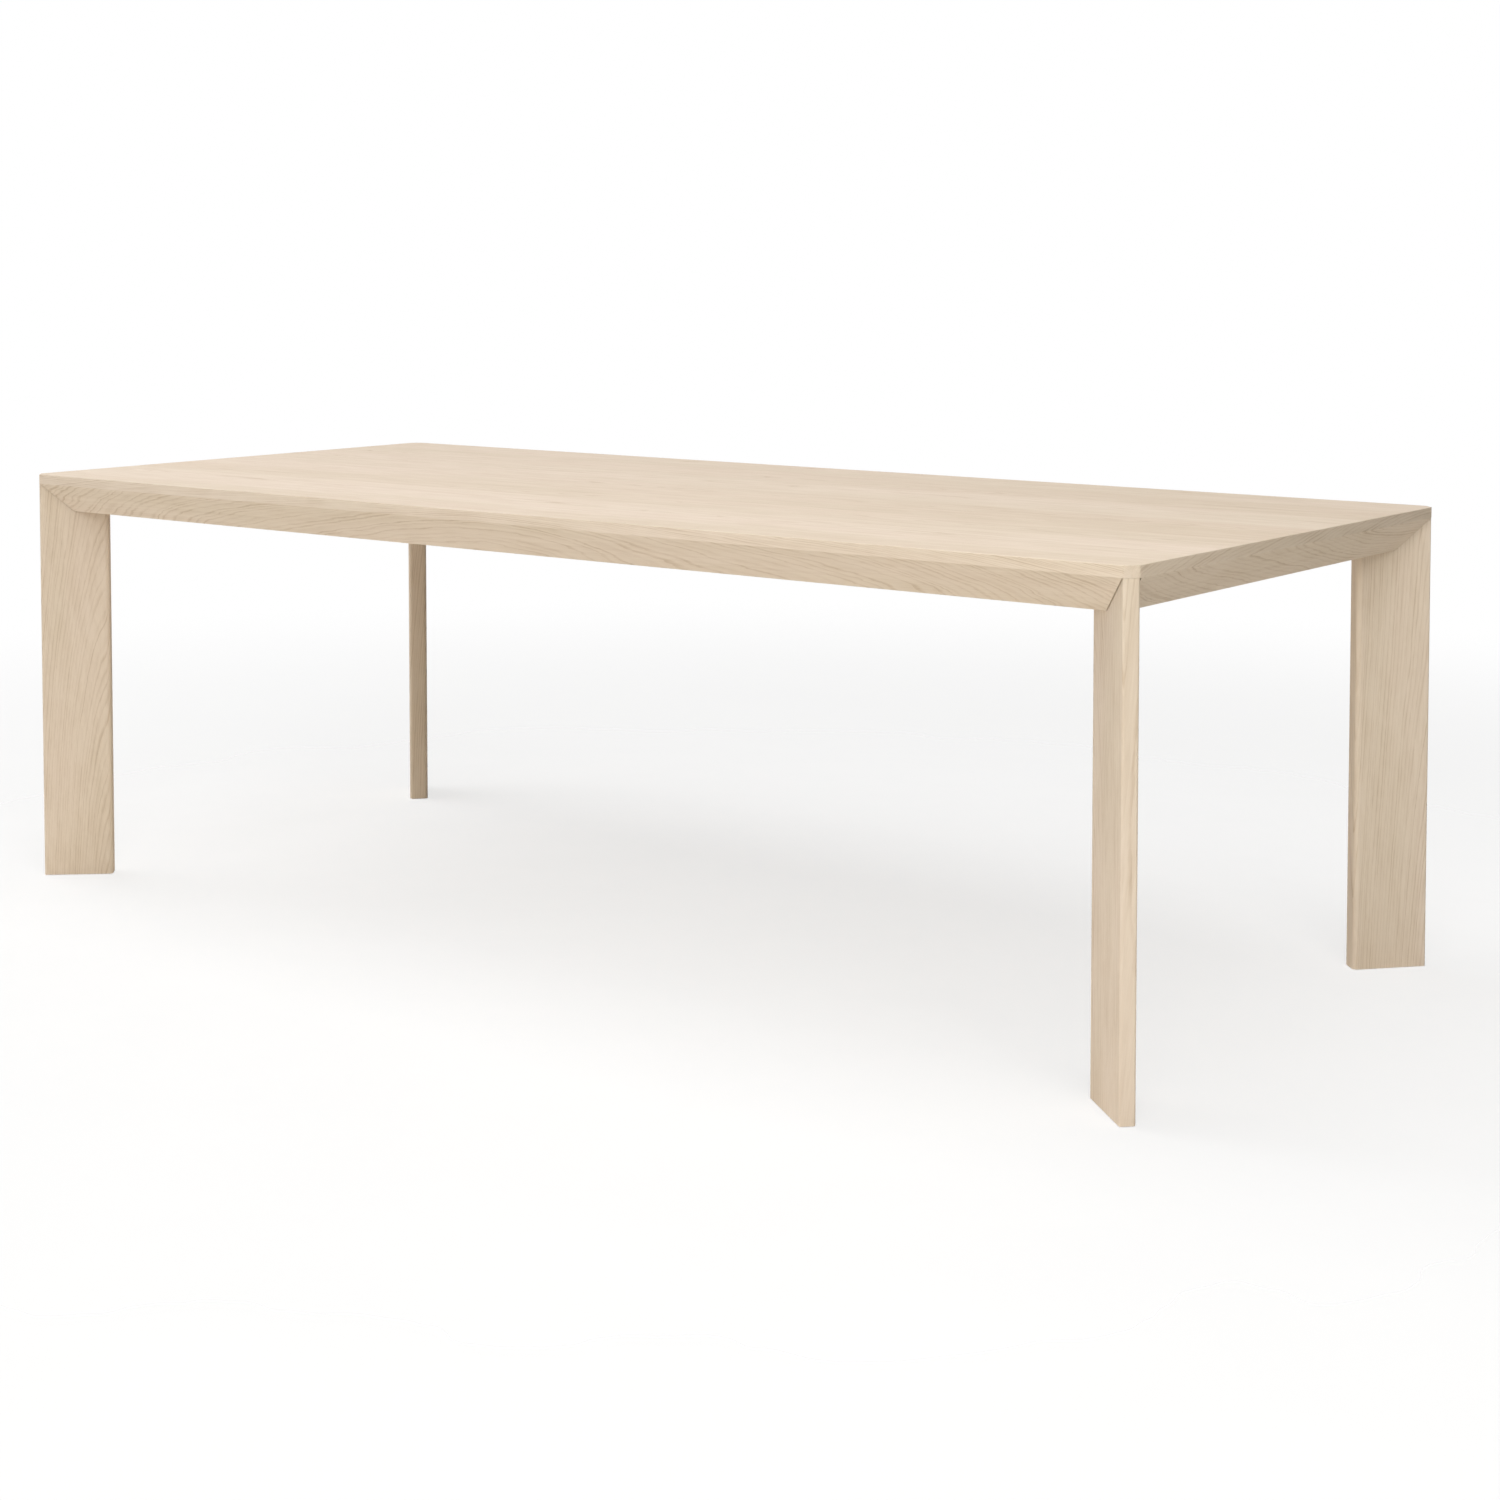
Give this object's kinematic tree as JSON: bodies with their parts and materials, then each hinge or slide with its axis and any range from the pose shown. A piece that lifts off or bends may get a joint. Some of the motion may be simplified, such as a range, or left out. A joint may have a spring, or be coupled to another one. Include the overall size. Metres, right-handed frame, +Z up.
{
  "type": "communion table",
  "caption": "Long wooden table with a thin-looking bevelled edge and upright blade legs set diagonally in its corners; a flat top to set things on.",
  "frame": {"origin": "on the floor, under the middle of the top", "axes": "+X along the length, +Y towards the back, +Z up; the front is -Y"},
  "size_m": [2.3, 1, 0.75],
  "materials": {
    "face_veneer": "white-oiled ash veneer, matt, long grain",
    "ash_rail": "white-oiled solid ash, matt",
    "ash_leg": "white-oiled solid ash, matt",
    "core_board": "raw particle board",
    "backing_veneer": "thin lacquered ash veneer",
    "hidden_hardwood": "planed beech, unfinished",
    "plywood": "birch plywood",
    "zinc_steel": "zinc-plated steel",
    "nylon": "moulded nylon"
  },
  "bodies": {
    "root": {"face_leaf_1": "face_veneer", "face_leaf_2": "face_veneer", "face_leaf_3": "face_veneer", "face_leaf_4": "face_veneer", "face_leaf_5": "face_veneer", "face_leaf_6": "face_veneer", "face_leaf_7": "face_veneer", "core_board": "core_board", "backing_veneer": "backing_veneer", "front_rail": "ash_rail", "back_rail": "ash_rail", "right_rail": "ash_rail", "left_rail": "ash_rail", "batten_1": "hidden_hardwood", "batten_2": "hidden_hardwood", "batten_3": "hidden_hardwood", "batten_screw_1": "zinc_steel", "batten_screw_2": "zinc_steel", "batten_screw_3": "zinc_steel", "batten_screw_4": "zinc_steel", "batten_screw_5": "zinc_steel", "batten_screw_6": "zinc_steel", "front_left_leg": "ash_leg", "front_left_glide": "nylon", "front_left_insert_1": "zinc_steel", "front_left_insert_2": "zinc_steel", "front_left_block": "hidden_hardwood", "front_left_bolt_plate": "zinc_steel", "front_left_bolt_1": "zinc_steel", "front_left_bolt_2": "zinc_steel", "front_left_mitre_spline": "plywood", "front_right_leg": "ash_leg", "front_right_glide": "nylon", "front_right_insert_1": "zinc_steel", "front_right_insert_2": "zinc_steel", "front_right_block": "hidden_hardwood", "front_right_bolt_plate": "zinc_steel", "front_right_bolt_1": "zinc_steel", "front_right_bolt_2": "zinc_steel", "front_right_mitre_spline": "plywood", "back_right_leg": "ash_leg", "back_right_glide": "nylon", "back_right_insert_1": "zinc_steel", "back_right_insert_2": "zinc_steel", "back_right_block": "hidden_hardwood", "back_right_bolt_plate": "zinc_steel", "back_right_bolt_1": "zinc_steel", "back_right_bolt_2": "zinc_steel", "back_right_mitre_spline": "plywood", "back_left_leg": "ash_leg", "back_left_glide": "nylon", "back_left_insert_1": "zinc_steel", "back_left_insert_2": "zinc_steel", "back_left_block": "hidden_hardwood", "back_left_bolt_plate": "zinc_steel", "back_left_bolt_1": "zinc_steel", "back_left_bolt_2": "zinc_steel", "back_left_mitre_spline": "plywood"}
  },
  "joints": []
}
